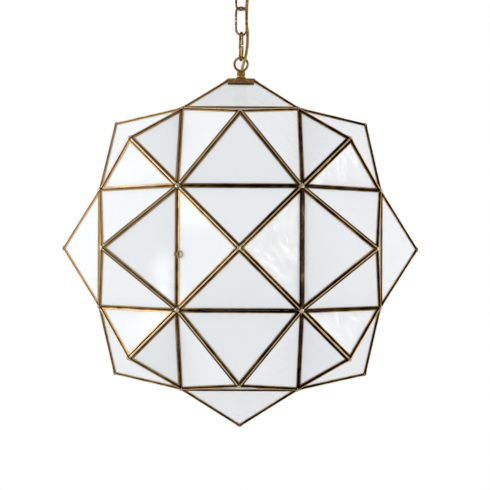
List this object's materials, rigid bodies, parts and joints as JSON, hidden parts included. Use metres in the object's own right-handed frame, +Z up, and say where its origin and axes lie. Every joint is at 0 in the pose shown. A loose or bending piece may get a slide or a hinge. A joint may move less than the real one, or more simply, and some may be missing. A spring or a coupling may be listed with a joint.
{
  "type": "pendant lantern",
  "caption": "Star-shaped pendant lantern of pointed opal glass panes in soldered brass strips, with a hinged door, chain and ceiling canopy.",
  "frame": {"origin": "on the ceiling plane, midway between the two ceiling screws, on the lamp's vertical axis", "axes": "+Z up, towards the ceiling; the door faces -Y; +X is to the right of someone facing the door"},
  "size_m": [0.35, 0.35, 0.4857],
  "materials": {
    "patinated_brass": "aged brown patina, rubbed bright on edges",
    "solder": "brass-coloured solder beads, rounded and shiny",
    "bright_brass": "polished, lightly tarnished",
    "opal_glass": "white opal sheet glass, glossy, slightly wavy",
    "bulb_glass": "frosted white",
    "zinc_steel": "zinc plated",
    "porcelain": "glazed white porcelain",
    "cable_sheath": "gold-tinted sheath over two twisted cores",
    "nylon": "natural white nylon"
  },
  "bodies": {
    "canopy": {"ceiling_bracket": "zinc_steel", "canopy": "patinated_brass", "canopy_screws": "bright_brass", "canopy_nut": "patinated_brass", "canopy_loop": "patinated_brass", "canopy_stud": "zinc_steel", "canopy_stud_nut": "zinc_steel", "cord_grip": "nylon", "terminal_block": "nylon", "canopy_cable": "cable_sheath"},
    "link_1": {"chain_link_1": "patinated_brass", "cable_1": "cable_sheath"},
    "link_2": {"chain_link_2": "patinated_brass", "cable_2": "cable_sheath"},
    "link_3": {"chain_link_3": "patinated_brass", "cable_3": "cable_sheath"},
    "lantern": {"lantern_loop": "patinated_brass", "loop_washer": "patinated_brass", "top_cap": "patinated_brass", "lantern_stud": "zinc_steel", "lantern_stud_nut": "zinc_steel", "stem_tube": "patinated_brass", "stem_cable": "cable_sheath", "lampholder_cap": "bright_brass", "lampholder_skirt": "bright_brass", "lampholder_insert": "porcelain", "screw_shell": "bright_brass", "centre_contact": "bright_brass", "bulb_cap": "zinc_steel", "bulb_glass": "bulb_glass", "glass_top": "opal_glass", "glass_upper_squares": "opal_glass", "glass_upper_corners": "opal_glass", "glass_belt_squares": "opal_glass", "glass_belt_diagonals": "opal_glass", "glass_lower_squares": "opal_glass", "glass_lower_corners": "opal_glass", "glass_bottom": "opal_glass", "came_top": "patinated_brass", "came_upper_squares": "patinated_brass", "came_upper_corners": "patinated_brass", "came_belt_squares": "patinated_brass", "came_belt_diagonals": "patinated_brass", "came_lower_squares": "patinated_brass", "came_lower_corners": "patinated_brass", "came_bottom": "patinated_brass", "ridge_solder": "solder", "valley_solder": "solder", "solder_blobs": "solder", "hinge_knuckles": "patinated_brass", "hinge_pin": "zinc_steel", "latch_catch": "bright_brass", "cable_4": "cable_sheath"},
    "door": {"door_glass": "opal_glass", "door_cames": "patinated_brass", "door_solder": "solder", "door_hinge_tubes": "patinated_brass", "latch_pivot": "patinated_brass"},
    "latch": {"latch_loop": "bright_brass"}
  },
  "joints": [
    {"name": "link_1_swing", "type": "hinge", "parent": "canopy", "child": "link_1", "pos_m": [0, 0, -0.05265], "axis": [0.5, 0.866, 0], "range_deg": [-25, 25], "deforming": ["cable_1"]},
    {"name": "link_2_swing", "type": "hinge", "parent": "link_1", "child": "link_2", "pos_m": [0, 0, -0.0772], "axis": [0.866, -0.5, 0], "range_deg": [-25, 25], "deforming": ["cable_2"]},
    {"name": "link_3_swing", "type": "hinge", "parent": "link_2", "child": "link_3", "pos_m": [0, 0, -0.1018], "axis": [0.866, 0.5, 0], "range_deg": [-25, 25], "deforming": ["cable_3"]},
    {"name": "lantern_swing", "type": "hinge", "parent": "link_3", "child": "lantern", "pos_m": [0, 0, -0.1264], "axis": [0.2079, -0.9781, 0], "range_deg": [-20, 20], "deforming": ["cable_4"]},
    {"name": "door_swing", "type": "hinge", "parent": "lantern", "child": "door", "pos_m": [0.05541, -0.13378, -0.31079], "axis": [0, 0, 1], "range_deg": [0, 120]},
    {"name": "latch_turn", "type": "hinge", "parent": "door", "child": "latch", "pos_m": [-0.05423, -0.13367, -0.31639], "axis": [0, 0, -1], "range_deg": [0, 150]}
  ]
}
